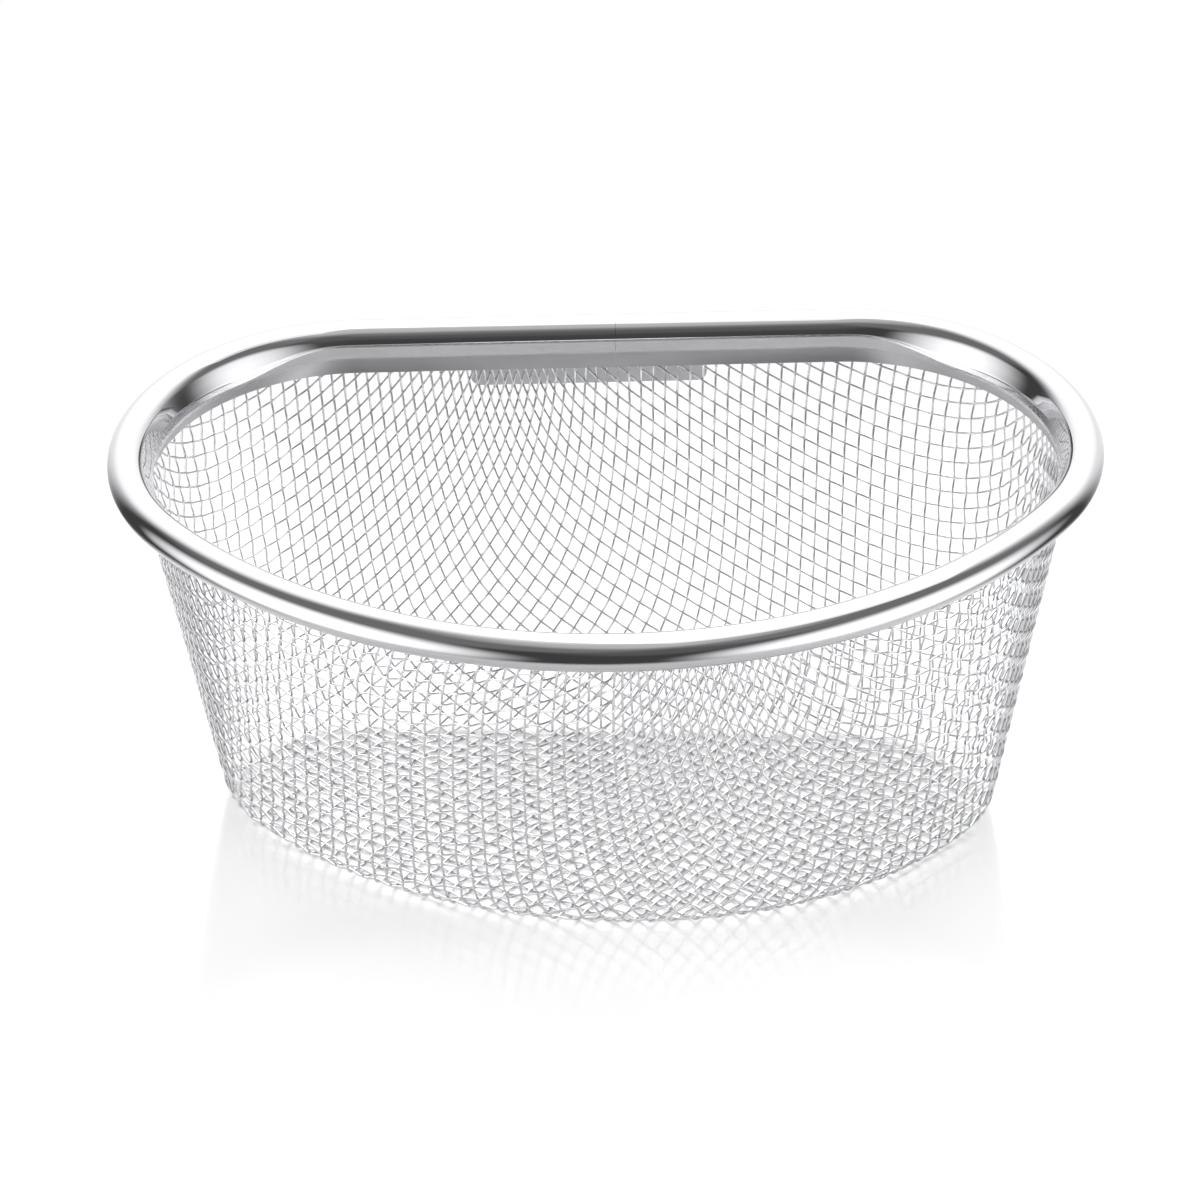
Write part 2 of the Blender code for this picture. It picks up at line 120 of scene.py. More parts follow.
class StrainerClothSettings(bpy.types.PropertyGroup):
    """The woven wire cloth of the bowl."""
    pitch: length("Wire pitch", "From one wire to the next, eight wires to the inch", 3.175 * MM)
    wire: length("Wire diameter", "Thickness of one wire", 0.5 * MM)
    turn: FloatProperty(name="Turn", description="Turn of the weave against the straight back",
                        default=math.radians(-37.5), subtype="ANGLE")
    knee_drop: length("Knee drop", "Where the wall leaves the rim, below the middle of the tube", 7.0 * MM)
    knee_inset: length("Knee inset", "Wall at the knee, inwards from the middle of the tube", 3.49 * MM)
    hem_drop: length("Hem drop", "Cut wire ends, below the middle of the tube", 0.6 * MM)
    slope: FloatProperty(name="Wall slope", description="Inwards for each unit down", default=0.202)
    edge_radius: length("Edge radius", "Round edge of the bottom", 6.0 * MM)
    forward: length("Base forward", "How far the base lies forward of the rim at the back", 17.5 * MM)
    shortening: FloatProperty(name="Base shortening", description="Less forward for each unit to the front",
                              default=0.143)
    askew: FloatProperty(name="Base turn", description="More forward for each unit to the right",
                         default=0.068)
    sides: IntProperty(name="Wire sides", description="Flats round one wire", default=8, min=3, max=12)
    steps: IntProperty(name="Wire steps", description="Pieces of wire from one crossing to the next",
                       default=6, min=2, max=12)
    # Painted highlight: the wire's steel is given a lighter grey than the strip's, standing in for the
    # highlights on the thin wires.
    colour: tint("Wire", "Colour of the bright drawn stainless wire", "#D9D9DB")


class StrainerPlateSettings(bpy.types.PropertyGroup):
    """The flat plate behind the cloth."""
    colour: tint("Sheet", "Colour of the dull rolled stainless sheet", "#D8D8D9")


class StrainerStageSettings(bpy.types.PropertyGroup):
    """Floor, light and camera."""
    floor_colour: tint("Floor", "Colour of the white acrylic floor", "#FAFAFA")
    floor_fade: length("Floor fade", "Where the floor starts to fade, from the middle", 0.115)
    floor_end: length("Floor end", "Where the floor has faded into the white room", 0.2)
    azimuth: FloatProperty(name="Azimuth", description="Camera's turn to the right of straight on",
                           default=math.radians(2.692), subtype="ANGLE")
    elevation: FloatProperty(name="Elevation", description="Camera's angle above the rim",
                             default=math.radians(34.086), subtype="ANGLE")
    roll: FloatProperty(name="Roll", description="Camera's roll", default=math.radians(0.057),
                        subtype="ANGLE")
    distance: length("Distance", "From the camera to the point it looks at", 0.93215)
    lens: FloatProperty(name="Lens", description="Focal length on a 36 mm sensor, in millimetres",
                        default=142.47, min=1.0)


def settings(name):
    """One of the file's groups of settings."""
    return getattr(bpy.context.scene, "strainer_" + name)


def add_node(tree, kind, links=(), **values):
    """A node with its own properties, its socket values and its links from other nodes' outputs."""
    node = tree.nodes.new(kind)
    for key, value in values.items():
        if hasattr(node, key):
            setattr(node, key, value)
        else:
            node.inputs[key.replace("_", " ")].default_value = value
    for socket, source in dict(links).items():
        tree.links.new(source, node.inputs[socket])
    return node


def steel(name, colour):
    """A new steel material with the finish of its name."""
    made = bpy.data.materials.new(name)
    made.use_nodes = True
    tree = made.node_tree
    shader = tree.nodes["Principled BSDF"]
    shader.inputs["Base Color"].default_value = (*colour, 1.0)
    shader.inputs["Metallic"].default_value = 1.0
    place = add_node(tree, "ShaderNodeTexCoord").outputs["Object"]
    fine, detail, low, high, smoothest, roughest = FINISHES[name]
    clouds = add_node(tree, "ShaderNodeTexNoise", {"Vector": place}, Scale=fine, Detail=detail)
    rough = add_node(tree, "ShaderNodeMapRange", {"Value": clouds.outputs["Fac"]},
                     From_Min=low, From_Max=high, To_Min=smoothest, To_Max=roughest)
    tree.links.new(rough.outputs[0], shader.inputs["Roughness"])
    return made


def add_ripples(made):
    """The faint ripples that rolling leaves in a polished surface."""
    tree = made.node_tree
    place = tree.nodes["Texture Coordinate"].outputs["Object"]
    ripple = add_node(tree, "ShaderNodeTexNoise", {"Vector": place}, Scale=RIPPLE_SCALE, Detail=1.0)
    bump = add_node(tree, "ShaderNodeBump", {"Height": ripple.outputs["Fac"]},
                    Strength=RIPPLE_STRENGTH, Distance=RIPPLE_HEIGHT)
    tree.links.new(bump.outputs["Normal"], tree.nodes["Principled BSDF"].inputs["Normal"])
    return made


class Outline:
    """The D of the rim in plan, along the middle of its tube."""

    def __init__(self, rim):
        self.half, self.corner, self.front = rim.back_half, rim.corner_radius, rim.front_radius
        self.front_y = math.sqrt((self.front - self.corner) ** 2 - self.half ** 2) - self.corner
        self.joint = math.atan2(-self.corner - self.front_y, self.half)
        self.depth = self.front - self.front_y + 2 * rim.tube_radius
        self.back_y = self.depth / 2 - rim.tube_radius

    def arc(self, centre, radius, start, stop, step):
        """Points along an arc in plan, both ends included."""
        count = math.ceil(abs(stop - start) / step)
        angles = np.linspace(start, stop, count + 1)
        return np.stack([centre[0] + radius * np.cos(angles), centre[1] + radius * np.sin(angles)], 1)

    def path(self, seam_x, seam_gap, step):
        """Clockwise from one side of the seam to the other."""
        right = self.arc((self.half, -self.corner), self.corner, math.pi / 2, self.joint, step)
        front = self.arc((0, self.front_y), self.front, self.joint, -math.pi - self.joint, step / 2)
        left = right[::-1] * (-1, 1)
        ends = [(seam_x + seam_gap / 2, 0)], [(seam_x - seam_gap / 2, 0)]
        return np.concatenate([ends[0], right, front[1:-1], left, ends[1]])

    def query(self, points):
        """Inset from the D and direction outwards in plan for every point."""
        x, y = np.abs(points[:, 0]), points[:, 1]
        reach = np.hypot(x, y - self.front_y) + TINY
        ahead = x * (-self.corner - self.front_y) - (y - self.front_y) * self.half > 0
        back = (x <= self.half) & (~ahead | (-y < self.front - reach))
        front = ahead & ~back
        to_corner = np.stack([x - self.half, y + self.corner], 1)
        span = np.hypot(*to_corner.T) + TINY
        inset = np.where(back, -y, np.where(front, self.front - reach, self.corner - span))
        from_front = np.stack([x, y - self.front_y], 1) / reach[:, None]
        outwards = np.where(front[:, None], from_front, to_corner / span[:, None])
        outwards[back] = (0, 1)
        outwards[:, 0] *= np.where(points[:, 0] < 0, -1, 1)
        return inset, outwards


class Bowl:
    """The drawn bowl as a surface: hem beside the skirt, sloping wall, rounded edge and flat bottom."""

    def __init__(self, rim, cloth):
        self.outline = Outline(rim)
        self.hem_z = rim.height - cloth.hem_drop
        self.radius = cloth.edge_radius
        self.forward, self.shortening, self.askew = cloth.forward, cloth.shortening, cloth.askew
        inner = rim.tube_radius - rim.strip / 2
        skirt = np.array([rim.skirt_inset - inner * math.cos(rim.slit_start),
                          -rim.skirt_drop - inner * math.sin(rim.slit_start)])
        self.hem_way = skirt / np.hypot(*skirt)
        self.knee = np.array([cloth.knee_inset, rim.height - cloth.knee_drop])
        self.angle = math.atan(cloth.slope)
        self.wall_way = np.array([math.sin(self.angle), -math.cos(self.angle)])
        self.bottom = cloth.wire
        inwards = np.array([math.cos(self.angle), math.sin(self.angle)])
        centre_z = self.bottom + self.radius
        centre_x = (self.knee @ inwards + self.radius - centre_z * inwards[1]) / inwards[0]
        self.centre = np.array([centre_x, centre_z])
        self.wall_length = np.hypot(*(self.centre - self.radius * inwards - self.knee))
        self.arc_length = self.radius * (math.pi / 2 - self.angle)

    def nearest(self, inset, height):
        """The nearest place on the section and the direction out of the bowl there."""
        at = np.stack([inset, height], 1)
        along_hem = np.minimum((at - self.knee) @ self.hem_way, 0)
        along_wall = np.clip((at - self.knee) @ self.wall_way, 0, self.wall_length)
        away = at - self.centre
        angle = np.clip(np.arctan2(-away[:, 1], -away[:, 0]), self.angle, math.pi / 2)
        round_way = -np.stack([np.cos(angle), np.sin(angle)], 1)
        flat = np.stack([np.maximum(inset, self.centre[0]), np.full(len(at), self.bottom)], 1)
        places = np.stack([self.knee + along_hem[:, None] * self.hem_way,
                           self.knee + along_wall[:, None] * self.wall_way,
                           self.centre + self.radius * round_way, flat])
        ways = np.empty_like(places)
        ways[0] = (self.hem_way[1], -self.hem_way[0])
        ways[1] = (self.wall_way[1], -self.wall_way[0])
        ways[2], ways[3] = round_way, (0, -1)
        best = np.argmin(np.sum((places - at) ** 2, 2), 0), np.arange(len(at))
        return places[best], ways[best]

    def share(self, points):
        """How deep in the bowl every point is, from nought at the knee to one at the floor."""
        return np.clip(1 - points[:, 2] / self.knee[1], 0, 1)

    def lean(self, points):
        """Places on an upright bowl moved to where the askew one has them."""
        moved = points.copy()
        ahead = self.forward + self.askew * points[:, 0] + self.shortening * points[:, 1]
        moved[:, 1] -= self.share(points) * ahead
        return moved

    def stand_upright(self, points):
        """Places on the askew bowl moved back to the upright one."""
        deep = self.share(points)
        moved = points.copy()
        moved[:, 1] += deep * (self.forward + self.askew * points[:, 0])
        moved[:, 1] /= 1 - deep * self.shortening
        return moved

    def settle(self, points):
        """The points moved to the nearest places on the bowl, and the directions out of it there."""
        upright = self.stand_upright(points)
        inset, outwards = self.outline.query(upright[:, :2])
        place, way = self.nearest(inset, upright[:, 2])
        plan = upright[:, :2] + outwards * (inset - place[:, 0])[:, None]
        settled = np.concatenate([plan, place[:, 1:]], 1)
        deep = self.share(settled)
        x, y, z = np.concatenate([-outwards * way[:, :1], way[:, 1:]], 1).T
        y = y / (1 - deep * self.shortening)
        ahead = self.forward + self.askew * plan[:, 0] + self.shortening * plan[:, 1]
        out = np.stack([x + deep * self.askew * y, y, z - ahead / self.knee[1] * (deep > 0) * y], 1)
        return self.lean(settled), out / np.linalg.norm(out, axis=1, keepdims=True)

    def fold_up(self, plan):
        """Flat cloth folded onto the bowl, and how far each point lies past the flat bottom."""
        flat = self.stand_upright(np.column_stack([plan, np.full(len(plan), self.bottom)]))
        inset, outwards = self.outline.query(flat[:, :2])
        past = self.centre[0] - inset
        up = np.maximum(past, 0)
        angle = np.clip(up, 0, self.arc_length) / self.radius
        section = self.centre - self.radius * np.stack([np.sin(angle), np.cos(angle)], 1)
        beyond = np.maximum(up - self.arc_length, 0)[:, None]
        on_wall = np.minimum(beyond, self.wall_length)
        section = section - on_wall * self.wall_way - (beyond - on_wall) * self.hem_way
        moved = flat[:, :2] + outwards * (inset - section[:, 0])[:, None]
        points = np.concatenate([moved, section[:, 1:]], 1)
        points[past <= 0] = flat[past <= 0]
        return self.lean(points), past


class Cloth:
    """A square net of wire crossings that settles on the bowl as drawn cloth does."""
    REACH = 110.0 * MM          # how far it runs past the flat bottom before it is cut
    SHEAR_LIMIT = 0.5           # shortest diagonal of a cell, in pitches
    CELL_PULL = 0.25            # of what a diagonal lacks, how much each end makes up in one round
    # Coarse net to fine net: rounds, stiffness against bending and pull to the right pitch.
    SETTLING = (
        (4, ((200, 0.1, 0.5), (200, 0.06, 0.8), (200, 0.03, 0.9), (200, 0.02, 1.0))),
        (2, ((150, 0.06, 0.8), (150, 0.03, 0.9), (100, 0.02, 1.0))),
        (1, ((60, 0.06, 0.8), (60, 0.03, 0.9), (60, 0.02, 1.0))),
    )

    def __init__(self, bowl, pitch, turn):
        self.bowl, self.pitch, self.turn = bowl, pitch, turn
        self.points = self.used = None
        for coarse, rounds in self.SETTLING:
            self.lay(coarse)
            for count, stiffness, pull in rounds:
                for _ in range(count):
                    self.step(pitch * coarse, stiffness, pull)

    def lay(self, coarse):
        """A net folded onto the bowl, or the coarser net with a new crossing between every two."""
        if self.points is None:
            half = math.ceil((self.REACH + self.bowl.outline.depth) / (self.pitch * coarse))
            count = np.arange(-half, half + 1) * self.pitch * coarse
            across, along = np.meshgrid(count, count, indexing="ij")
            cos, sin = math.cos(self.turn), math.sin(self.turn)
            plan = np.stack([across * cos - along * sin, across * sin + along * cos], -1)
            plan += (0, -self.bowl.outline.back_y)
            points, past = self.bowl.fold_up(plan.reshape(-1, 2))
            self.points = points.reshape(*plan.shape[:2], 3)
            self.used = (past < self.REACH).reshape(plan.shape[:2])
            return
        old, live = self.points, self.used
        for _ in range(2):
            mid, both = (old[1:] + old[:-1]) / 2, live[1:] & live[:-1]
            fine = np.zeros((2 * len(old) - 1, *old.shape[1:]))
            flags = np.zeros((2 * len(old) - 1, live.shape[1]), bool)
            fine[::2], fine[1::2], flags[::2], flags[1::2] = old, mid, live, both
            old, live = fine.swapaxes(0, 1), flags.swapaxes(0, 1)
        self.points, self.used = np.ascontiguousarray(old), np.ascontiguousarray(live)

    def step(self, pitch, stiffness, pull):
        """One round: wires to their pitch, wires straighter, cells open, and back onto the bowl."""
        points, used = self.points, self.used
        for axis in (0, 1):
            grid, live = np.moveaxis(points, axis, 0), np.moveaxis(used, axis, 0)
            for first in (0, 1):
                count = (len(grid) - first) // 2
                one = slice(first, first + 2 * count, 2)
                two = slice(first + 1, first + 1 + 2 * count, 2)
                gap = grid[two] - grid[one]
                span = np.linalg.norm(gap, axis=-1, keepdims=True) + TINY
                share = pull * 0.5 * (span - pitch) / span * gap * (live[one] & live[two])[..., None]
                grid[one] += share
                grid[two] -= share
        before = points.copy()
        for axis in (0, 1):
            grid, old, live = (np.moveaxis(part, axis, 0) for part in (points, before, used))
            inner = (live[:-2] & live[1:-1] & live[2:])[..., None]
            grid[1:-1] += stiffness * (0.5 * (old[:-2] + old[2:]) - old[1:-1]) * inner
        low, high = slice(None, -1), slice(1, None)
        least = self.SHEAR_LIMIT * pitch
        for one, two in (((low, low), (high, high)), ((high, low), (low, high))):
            gap = points[two] - points[one]
            span = np.linalg.norm(gap, axis=-1, keepdims=True) + TINY
            short = (used[one] & used[two])[..., None] & (span < least)
            share = self.CELL_PULL * (span - least) / span * gap * short
            points[one] += share
            points[two] -= share
        points[used], _ = self.bowl.settle(points[used])

    def runs(self, family):
        """Every wire of one family as a list of its crossings in order, with whether each starts on top."""
        points, used = (np.moveaxis(part, family, 0) for part in (self.points, self.used))
        for row in range(points.shape[1]):
            live = used[:, row] & (points[:, row, 2] < self.bowl.hem_z + self.pitch)
            edges = np.flatnonzero(np.diff(np.concatenate([[False], live, [False]]).astype(int)))
            for start, stop in edges.reshape(-1, 2):
                if stop - start > 2:
                    yield points[start:stop, row], (start + row + family) % 2


def smooth_between(crossings, steps):
    """A smooth line through the crossings, with new points between every two."""
    before = np.concatenate([2 * crossings[:1] - crossings[1:2], crossings[:-1]])
    after = np.concatenate([crossings[1:], 2 * crossings[-1:] - crossings[-2:-1]])
    lean = (after - before) / 2
    share = (np.arange(steps) / steps)[None, :, None]
    one, two = crossings[:-1, None], crossings[1:, None]
    lean_one, lean_two = lean[:-1, None], lean[1:, None]
    square, cube = share ** 2, share ** 3
    line = ((2 * cube - 3 * square + 1) * one + (cube - 2 * square + share) * lean_one
            + (3 * square - 2 * cube) * two + (cube - square) * lean_two)
    return np.concatenate([line.reshape(-1, 3), crossings[-1:]])


def crimped_wire(crossings, first_up, bowl, cloth):
    """The middle line of one woven wire, over and under, and the directions out of the bowl along it."""
    line, out = bowl.settle(smooth_between(crossings, cloth.steps))
    wave = np.cos(math.pi * (np.arange(len(line)) / cloth.steps + first_up))
    line = line + out * (wave * cloth.wire / 2)[:, None]
    keep = np.flatnonzero(line[:, 2] <= bowl.hem_z)
    if len(keep) < 3:
        return None
    line, out = line[keep[0]:keep[-1] + 1], out[keep[0]:keep[-1] + 1]
    return line + (0, bowl.outline.back_y, 0), out


def tubes(name, lines, radius, sides):
    """A mesh of closed round wires along the lines."""
    turns = np.arange(sides) * 2 * math.pi / sides
    verts, faces, count = [], [], 0
    for line, out in lines:
        along = np.gradient(line, axis=0)
        along /= np.linalg.norm(along, axis=1, keepdims=True)
        side = np.cross(along, out)
        side /= np.linalg.norm(side, axis=1, keepdims=True)
        up = np.cross(side, along)
        ring = up[:, None] * np.cos(turns)[None, :, None] + side[:, None] * np.sin(turns)[None, :, None]
        verts.append((line[:, None] + radius * ring).reshape(-1, 3))
        start = count + sides * np.arange(len(line) - 1)[:, None]
        here = np.arange(sides)[None]
        beside = (here + 1) % sides
        quads = np.stack([start + here, start + beside, start + sides + beside, start + sides + here], -1)
        faces += quads.reshape(-1, 4).tolist()
        last = count + sides * (len(line) - 1)
        faces += [list(range(count + sides - 1, count - 1, -1)), list(range(last, last + sides))]
        count += sides * len(line)
    mesh = bpy.data.meshes.new(name)
    mesh.from_pydata(np.concatenate(verts), [], faces)
    mesh.shade_smooth()
    mesh.validate()
    return mesh


def show(name, data, materials):
    """An object in the scene that rides on the basket and takes the finishes it is given."""
    made = bpy.data.objects.new(name, data)
    bpy.context.scene.collection.objects.link(made)
    for finish in materials:
        data.materials.append(finish)
    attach(made, ROOT)
    return made


class STRAINER_OT_rim(bpy.types.Operator):
    """Build the strip that is rolled into a tube round the mouth, with its short skirt inside"""
    bl_idname = "strainer.rim"
    bl_label = "Rolled rim"
    SKIRT_STEPS = 8
    # These satin steps are also darker in colour: painted shade on the lower skirt, beside the bowl.
    SATIN_SHADED_STEPS = 6             # of the skirt's steps, those the buffing wheel didn't reach
    FLANK_STEPS = 3
    TUBE_STEPS = 60
    PATH_STEP = math.radians(2.0)
    STRAIGHT_STEPS = 24         # along half of the straight back
    # The strip's section changes along its path: distance across and forward from the middle of the back in
    # mm, where the tube's curve ends in degrees round the tube, then inset and height in mm of the crease
    # under the tube and of the rounded bend above the skirt.
    SECTIONS = ((56.0, 20.0, 3.74, 0.12, 3.62, -3.6),
                (88.0, 24.0, 5.15, -2.9, 5.05, -3.8),
                (112.0, 28.0, 5.3, -2.7, 5.2, -3.6),
                (170.0, 22.0, 5.0, -3.0, 4.9, -3.9))
    SHARP_ANGLE = math.radians(35.0)    # edges sharper than this aren't shaded smooth
    BEND_EASE = 0.4             # share of the flank above the bend that is rounded

    def section(self, rim, place):
        """Middle line of the strip at a place of its path: skirt, flank, crease, upper flank and tube."""
        reaches, *columns = zip(*self.SECTIONS)
        row, share = divmod(np.interp(np.abs(place).sum() / MM, reaches, range(len(reaches))), 1)
        row += share * share * (3 - 2 * share)
        end, *sizes = [np.interp(row, range(len(column)), column) for column in columns]
        radius = rim.tube_radius - rim.strip / 2
        angles = np.linspace(math.radians(end), rim.tube_end, self.TUBE_STEPS + 1)
        tube = np.stack([radius * np.cos(angles), radius * np.sin(angles)], 1)
        edge = np.array([rim.skirt_inset, -rim.skirt_drop])
        crease, bend = np.array(sizes).reshape(2, 2) * MM
        eased = bend + (crease - bend) * self.BEND_EASE
        share = np.linspace(0, 1, self.SKIRT_STEPS + 1)[:-1, None]
        skirt = edge * (1 - share) ** 2 + bend * 2 * share * (1 - share) + eased * share ** 2
        flanks = [one + (two - one) * np.linspace(0, 1, self.FLANK_STEPS + 1)[:-1, None]
                  for one, two in ((eased, crease), (crease, tube[0]))]
        return np.concatenate([skirt, *flanks, tube])

    def execute(self, context):
        rim = settings("rim")
        outline = Outline(rim)
        path = outline.path(rim.seam_x, rim.seam_gap, self.PATH_STEP)
        steps = np.linspace(0, 1, self.STRAIGHT_STEPS)[:-1, None]
        path = np.concatenate([path[0] + (path[1] - path[0]) * steps, path[1:-1],
                               path[-1] + (path[-2] - path[-1]) * steps[::-1]])
        _, outwards = outline.query(path)
        section = np.array([self.section(rim, place) for place in path])
        ring = path[:, None, :] - outwards[:, None, :] * section[:, :, :1]
        points = np.concatenate([ring + (0, outline.back_y), section[:, :, 1:] + rim.height], 2)
        mesh = bpy.data.meshes.new("rim_strip")
        wide = section.shape[1]
        start = np.arange(len(path) - 1)[:, None] * wide + np.arange(wide - 1)[None]
        quads = np.stack([start, start + wide, start + wide + 1, start + 1], -1).reshape(-1, 4)
        mesh.from_pydata(points.reshape(-1, 3), [], quads.tolist())
        # The skirt's satin copy of the steel is darker than the strip: painted shade on its lower steps.
        finishes = [add_ripples(steel("polished_stainless_strip", rim.colour)),
                    steel("satin_skirt_painted_shade", rim.shaded_skirt_colour),
                    steel("half_polished_bend", rim.colour)]
        strip = show("rim_strip", mesh, finishes)
        bend = self.SKIRT_STEPS - self.SATIN_SHADED_STEPS + self.FLANK_STEPS
        finish = np.repeat((1, 2, 0), (self.SATIN_SHADED_STEPS, bend, self.FLANK_STEPS + self.TUBE_STEPS))
        mesh.polygons.foreach_set("material_index", np.tile(finish, len(path) - 1).astype(np.int32))
        mesh.shade_smooth()
        wall = strip.modifiers.new("strip thickness", "SOLIDIFY")
        wall.thickness = rim.strip
        wall.offset = 0.0
        wall.use_even_offset = True
        bare = strip.modifiers.new("sharp edges", "EDGE_SPLIT")
        bare.split_angle = self.SHARP_ANGLE
        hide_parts("rolled_rim")
        return {"FINISHED"}


class STRAINER_OT_cloth(bpy.types.Operator):
    """Weave the wires of the bowl over and under each other"""
    bl_idname = "strainer.cloth"
    bl_label = "Woven bowl"
    PARTS = 4                   # meshes for one family of wires

    def execute(self, context):
        rim, cloth = settings("rim"), settings("cloth")
        bowl = Bowl(rim, cloth)
        net = Cloth(bowl, cloth.pitch, cloth.turn)
        # The wires' lighter grey is painted highlight on top of the steel's own colour.
        finish = steel("drawn_wire_painted_highlight", cloth.colour)
        for family, name in enumerate(("warp_wires", "weft_wires")):
            lines = [crimped_wire(run, up, bowl, cloth) for run, up in net.runs(family)]
            lines = [line for line in lines if line]
            for part, start in enumerate(range(0, len(lines), math.ceil(len(lines) / self.PARTS)), 1):
                some = lines[start:start + math.ceil(len(lines) / self.PARTS)]
                mesh = tubes(f"{name}_{part}", some, cloth.wire / 2, cloth.sides)
                wires = show(mesh.name, mesh, [finish])
                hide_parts("mesh_bowl")
        return {"FINISHED"}


class STRAINER_OT_plate(bpy.types.Operator):
    """Give the plate behind the cloth its dull sheet finish"""
    bl_idname = "strainer.plate"
    bl_label = "Back plate"

    def execute(self, context):
        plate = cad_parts["back_plate"]
        finish = steel("dull_rolled_sheet", settings("plate").colour)
        for slot in plate.material_slots:
            slot.material = finish
        return {"FINISHED"}


class STRAINER_OT_stage(bpy.types.Operator):
    """Set the floor, the light and the camera"""
    bl_idname = "strainer.stage"
    bl_label = "Stage"
    ROOM = 0.075                # the dim room, in units of white
    FLOOR_GLOW = 0.2            # how far the floor is evened out to pure white
    FLOOR_IN_STEEL = 0.38       # brightness of that part in the steel
    FLOOR_ROUGHNESS = 0.16
    FLOOR_SQUARES = 8
    TOP_POWER = 1.85            # the lamp over the basket: watts, side in metres and place
    TOP_SIZE = 0.9
    TOP_PLACE = (0.35, 0.2, 1.25)
    SENSOR = 36.0               # the camera's, in millimetres
    CLIP_START = 0.05
    AIM = (-3.907 * MM, -102.372 * MM)  # from the middle of the back to the point the camera looks at
    # Light patches: azimuth from straight behind, height, half width and soft edge in degrees; brightness.
    STUDIO = (
        (6, 22, 57, 32, 1.12),      # white wall behind
        (2, 47, 44, 26, 0.43),      # its lit upper part
        (4, 42, 24, 12, 3.2),       # large soft box above it
        (-119, -11, 24, 48, 2.1),   # soft box, front left
        (123, -15, 23, 48, 2.1),    # soft box, front right
        (-121, 61, 41, 18, 0.16),   # side walls, upper part
        (90, 55, 44, 21, 0.17),
        (161, 77, 10, 41, 0.38),    # ceiling
        (167, 33, 12, 32, 0.08),    # wall behind the camera
    )

    def execute(self, context):
        stage = settings("stage")
        self.floor(stage)
        self.world()
        self.lamps()
        self.camera(stage, settings("rim"))
        context.scene.view_settings.view_transform = "Standard"
        return {"FINISHED"}

    def seen_or_mirrored(self, tree):
        """One for rays from the camera, from metal and through glass, and nought for the rest."""
        path = add_node(tree, "ShaderNodeLightPath")
        pair = add_node(tree, "ShaderNodeMath", {0: path.outputs["Is Camera Ray"],
                                                 1: path.outputs["Is Glossy Ray"]}, operation="MAXIMUM")
        return add_node(tree, "ShaderNodeMath", {0: pair.outputs[0], 1: path.outputs["Is Transmission Ray"]},
                        operation="MAXIMUM").outputs[0]

    def floor(self, stage):
        """White acrylic: nearly pure white, with a soft mirror image of the basket, fading into the room."""
        mesh = bpy.data.meshes.new("floor")
        sheet = bmesh.new()
        bmesh.ops.create_grid(sheet, x_segments=self.FLOOR_SQUARES, y_segments=self.FLOOR_SQUARES,
                              size=stage.floor_end)
        sheet.to_mesh(mesh)
        sheet.free()
        floor = bpy.data.objects.new("floor", mesh)
        bpy.context.scene.collection.objects.link(floor)
        made = bpy.data.materials.new("white_acrylic_floor")
        made.use_nodes = True
        tree = made.node_tree
        shader = tree.nodes["Principled BSDF"]
        shader.inputs["Base Color"].default_value = (*stage.floor_colour, 1.0)
        shader.inputs["Roughness"].default_value = self.FLOOR_ROUGHNESS
        seen = add_node(tree, "ShaderNodeLightPath").outputs["Is Camera Ray"]
        level = add_node(tree, "ShaderNodeMapRange", {"Value": seen}, To_Min=self.FLOOR_IN_STEEL)
        glow = add_node(tree, "ShaderNodeEmission", {"Strength": level.outputs[0]})
        share = add_node(tree, "ShaderNodeMath", {0: self.seen_or_mirrored(tree)}, operation="MULTIPLY")
        share.inputs[1].default_value = self.FLOOR_GLOW
        lit = add_node(tree, "ShaderNodeMixShader", {0: share.outputs[0], 1: shader.outputs[0],
                                                     2: glow.outputs[0]})
        place = add_node(tree, "ShaderNodeTexCoord").outputs["Object"]
        reach = add_node(tree, "ShaderNodeVectorMath", {0: place}, operation="LENGTH").outputs["Value"]
        fade = add_node(tree, "ShaderNodeMapRange", {0: reach}, interpolation_type="SMOOTHSTEP",
                        From_Min=stage.floor_fade, From_Max=stage.floor_end)
        clear = add_node(tree, "ShaderNodeBsdfTransparent")
        faded = add_node(tree, "ShaderNodeMixShader", {0: fade.outputs[0], 1: lit.outputs[0],
                                                       2: clear.outputs[0]})
        tree.links.new(faded.outputs[0], tree.nodes["Material Output"].inputs["Surface"])
        mesh.materials.append(made)

    def world(self):
        """The studio round the basket, seen by the steel; the camera sees plain white."""
        world = bpy.data.worlds.new("studio")
        bpy.context.scene.world = world
        world.use_nodes = True
        tree = world.node_tree
        shader = tree.nodes["Background"]
        way = add_node(tree, "ShaderNodeTexCoord").outputs["Generated"]
        total = add_node(tree, "ShaderNodeValue")
        total.outputs[0].default_value = self.ROOM
        for azimuth, height, half, soft, strength in self.STUDIO:
            around, up = math.radians(azimuth), math.radians(height)
            centre = (math.cos(up) * math.sin(around), math.cos(up) * math.cos(around), math.sin(up))
            near = add_node(tree, "ShaderNodeVectorMath", {0: way}, operation="DOT_PRODUCT")
            near.inputs[1].default_value = centre
            patch = add_node(tree, "ShaderNodeMapRange", {0: near.outputs["Value"]},
                             interpolation_type="SMOOTHSTEP", To_Max=strength,
                             From_Min=math.cos(math.radians(half + soft / 2)),
                             From_Max=math.cos(math.radians(half - soft / 2)))
            total = add_node(tree, "ShaderNodeMath", {0: total.outputs[0], 1: patch.outputs[0]})
        seen = add_node(tree, "ShaderNodeLightPath").outputs["Is Camera Ray"]
        white = add_node(tree, "ShaderNodeMix", {0: seen, 2: total.outputs[0]}, data_type="FLOAT")
        white.inputs[3].default_value = 1.0
        tree.links.new(white.outputs[0], shader.inputs["Strength"])
        shader.inputs["Color"].default_value = (1.0, 1.0, 1.0, 1.0)

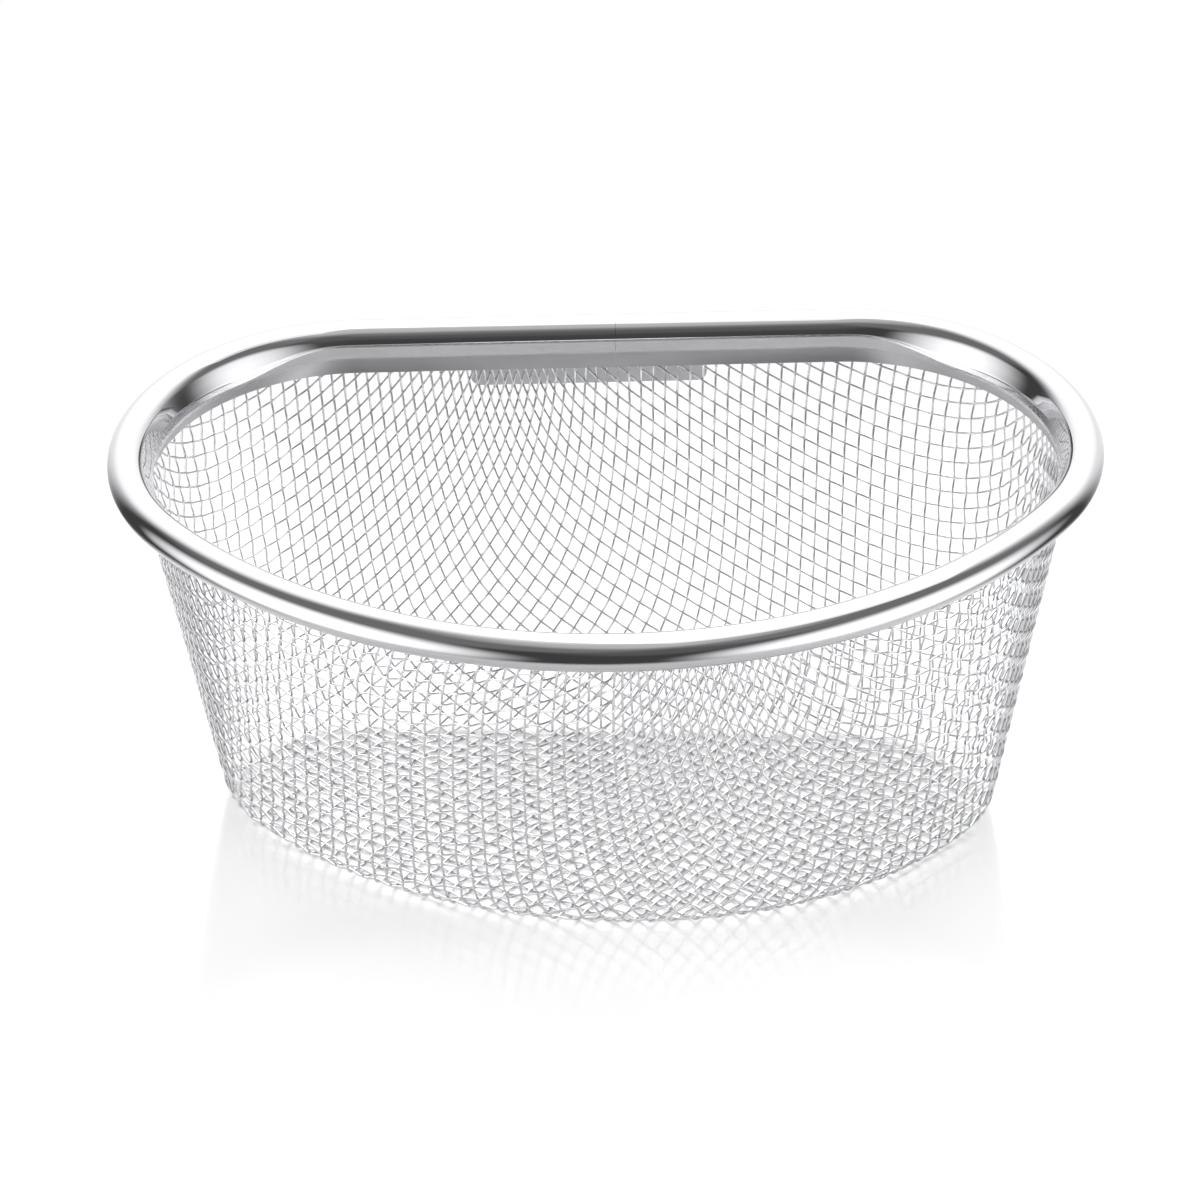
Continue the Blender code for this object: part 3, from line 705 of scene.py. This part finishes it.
    def lamps(self):
        """A large soft lamp over the basket."""
        light = bpy.data.lights.new("top_lamp", "AREA")
        light.size = self.TOP_SIZE
        light.energy = self.TOP_POWER
        lamp = bpy.data.objects.new("top_lamp", light)
        lamp.location = self.TOP_PLACE
        lamp.rotation_euler = (-Vector(lamp.location)).to_track_quat("-Z", "Y").to_euler()
        lamp.visible_camera = False
        bpy.context.scene.collection.objects.link(lamp)

    def camera(self, stage, rim):
        """The photograph's camera, fitted to the rim."""
        outline = Outline(rim)
        cos, sin = math.cos(stage.elevation), math.sin(stage.elevation)
        ahead = Vector((cos * math.sin(stage.azimuth), cos * math.cos(stage.azimuth), -sin))
        level = Vector((math.cos(stage.azimuth), -math.sin(stage.azimuth), 0))
        over = level.cross(ahead)
        right = math.cos(stage.roll) * level + math.sin(stage.roll) * over
        over = math.cos(stage.roll) * over - math.sin(stage.roll) * level
        target = Vector((self.AIM[0], outline.back_y + self.AIM[1], rim.height))
        lens = bpy.data.cameras.new("camera")
        lens.sensor_width = self.SENSOR
        lens.lens = stage.lens
        lens.clip_start = self.CLIP_START
        camera = bpy.data.objects.new("camera", lens)
        turn = Matrix((right, over, -ahead)).transposed().to_4x4()
        camera.matrix_world = Matrix.Translation(target - stage.distance * ahead) @ turn
        bpy.context.scene.collection.objects.link(camera)
        bpy.context.scene.camera = camera


class STRAINER_PT_panel(bpy.types.Panel):
    """The basket's pieces in the sidebar"""
    bl_idname = "STRAINER_PT_panel"
    bl_label = "Strainer Basket"
    bl_space_type = "VIEW_3D"
    bl_region_type = "UI"
    bl_category = "Strainer"

    def draw(self, context):
        for piece in PIECES:
            self.layout.operator(piece.bl_idname)
        for name, group in GROUPS.items():
            box = self.layout.box()
            for key in group.__annotations__:
                box.prop(getattr(context.scene, "strainer_" + name), key)


GROUPS = {"rim": StrainerRimSettings, "cloth": StrainerClothSettings, "plate": StrainerPlateSettings,
          "stage": StrainerStageSettings}
PIECES = (STRAINER_OT_rim, STRAINER_OT_cloth, STRAINER_OT_plate, STRAINER_OT_stage)


def register():
    """Makes the settings, operators and panel known to Blender."""
    for group in (*GROUPS.values(), *PIECES, STRAINER_PT_panel):
        bpy.utils.register_class(group)
    for name, group in GROUPS.items():
        setattr(bpy.types.Scene, "strainer_" + name, PointerProperty(type=group))


def unregister():
    """Takes them away again."""
    for name in GROUPS:
        delattr(bpy.types.Scene, "strainer_" + name)
    for group in reversed((*GROUPS.values(), *PIECES, STRAINER_PT_panel)):
        bpy.utils.unregister_class(group)


def main():
    """Builds every piece in order."""
    register()
    bpy.ops.strainer.rim()
    bpy.ops.strainer.cloth()
    bpy.ops.strainer.plate()
    bpy.ops.strainer.stage()


if __name__ == "__main__":
    main()
